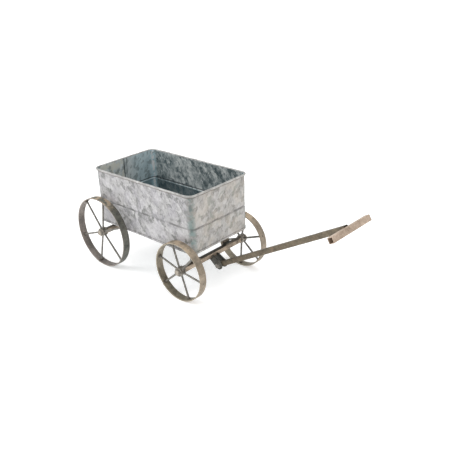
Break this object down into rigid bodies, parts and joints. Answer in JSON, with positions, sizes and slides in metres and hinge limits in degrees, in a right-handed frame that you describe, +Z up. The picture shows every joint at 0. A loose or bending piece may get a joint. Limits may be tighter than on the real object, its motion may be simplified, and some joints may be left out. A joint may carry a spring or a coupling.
{
  "type": "wagon planter",
  "caption": "Small four-wheeled pull wagon with a rectangular galvanised tub, strap-rimmed spoked wheels on tube axles and a hinged drawbar with a T grip.",
  "frame": {"origin": "on the ground, in the middle of the bounding box seen from above, with the drawbar at its stored angle", "axes": "+X forward towards the grip, +Y the wagon's left, +Z up"},
  "size_m": [0.6874, 0.2248, 0.2366],
  "materials": {
    "galvanised_sheet": "hot-dip galvanised sheet with a mottled pale and dark grey spangle, half matt",
    "rim_wire": "galvanised wire inside the rolled rim",
    "zinc_fastener": "dulled zinc-plated steel",
    "wheel_strap": "weathered strap steel with brown-grey patina",
    "spoke_steel": "weathered round bar, dark grey",
    "hub_steel": "turned steel, dulled, pale tan-grey",
    "axle_steel": "square tube with warm tan-brown patina",
    "dark_bracket": "darkened steel, greenish black, half matt",
    "weld_metal": "dark weld bead",
    "drawbar_steel": "square tube with olive-grey patina",
    "grip_steel": "square tube, pale pinkish tan patina"
  },
  "bodies": {
    "wagon": {"tub_wall": "galvanised_sheet", "tub_floor": "galvanised_sheet", "rim_wire": "rim_wire", "stand_bolts": "zinc_fastener", "stand_washers": "zinc_fastener", "stand_nuts": "zinc_fastener", "inner_axle_washers": "zinc_fastener", "outer_axle_washers": "zinc_fastener", "axle_caps": "hub_steel", "clevis_ear_right": "dark_bracket", "clevis_ear_left": "dark_bracket", "clevis_welds": "weld_metal", "hitch_bolt": "dark_bracket", "hitch_nut": "dark_bracket", "hitch_washers": "dark_bracket", "hitch_spacers": "dark_bracket", "rear_axle_beam": "axle_steel", "rear_axle_rod": "axle_steel", "rear_stands": "dark_bracket", "rear_stand_welds": "weld_metal", "front_axle_beam": "axle_steel", "front_axle_rod": "axle_steel", "front_stands": "dark_bracket", "front_stand_welds": "weld_metal"},
    "rear_right_wheel": {"rear_right_rim": "wheel_strap", "rear_right_spokes": "spoke_steel", "rear_right_spoke_welds": "weld_metal", "rear_right_seam_weld": "weld_metal", "rear_right_hub": "hub_steel"},
    "rear_left_wheel": {"rear_left_rim": "wheel_strap", "rear_left_spokes": "spoke_steel", "rear_left_spoke_welds": "weld_metal", "rear_left_seam_weld": "weld_metal", "rear_left_hub": "hub_steel"},
    "front_right_wheel": {"front_right_rim": "wheel_strap", "front_right_spokes": "spoke_steel", "front_right_spoke_welds": "weld_metal", "front_right_seam_weld": "weld_metal", "front_right_hub": "hub_steel"},
    "front_left_wheel": {"front_left_rim": "wheel_strap", "front_left_spokes": "spoke_steel", "front_left_spoke_welds": "weld_metal", "front_left_seam_weld": "weld_metal", "front_left_hub": "hub_steel"},
    "drawbar": {"drawbar_tube": "drawbar_steel", "drawbar_bush": "drawbar_steel", "grip_tube": "grip_steel", "grip_welds": "weld_metal"}
  },
  "joints": [
    {"name": "rear_right_wheel_spin", "type": "hinge", "parent": "wagon", "child": "rear_right_wheel", "pos_m": [-0.25921, -0.0998, 0.0845], "axis": [0, 1, 0], "continuous": true},
    {"name": "rear_left_wheel_spin", "type": "hinge", "parent": "wagon", "child": "rear_left_wheel", "pos_m": [-0.25921, 0.0998, 0.0845], "axis": [0, 1, 0], "continuous": true},
    {"name": "front_right_wheel_spin", "type": "hinge", "parent": "wagon", "child": "front_right_wheel", "pos_m": [-0.00271, -0.0998, 0.066], "axis": [0, 1, 0], "continuous": true},
    {"name": "front_left_wheel_spin", "type": "hinge", "parent": "wagon", "child": "front_left_wheel", "pos_m": [-0.00271, 0.0998, 0.066], "axis": [0, 1, 0], "continuous": true},
    {"name": "drawbar_pitch", "type": "hinge", "parent": "wagon", "child": "drawbar", "pos_m": [0.02179, 0, 0.049], "axis": [0, -1, 0], "range_deg": [-35, 42]}
  ]
}
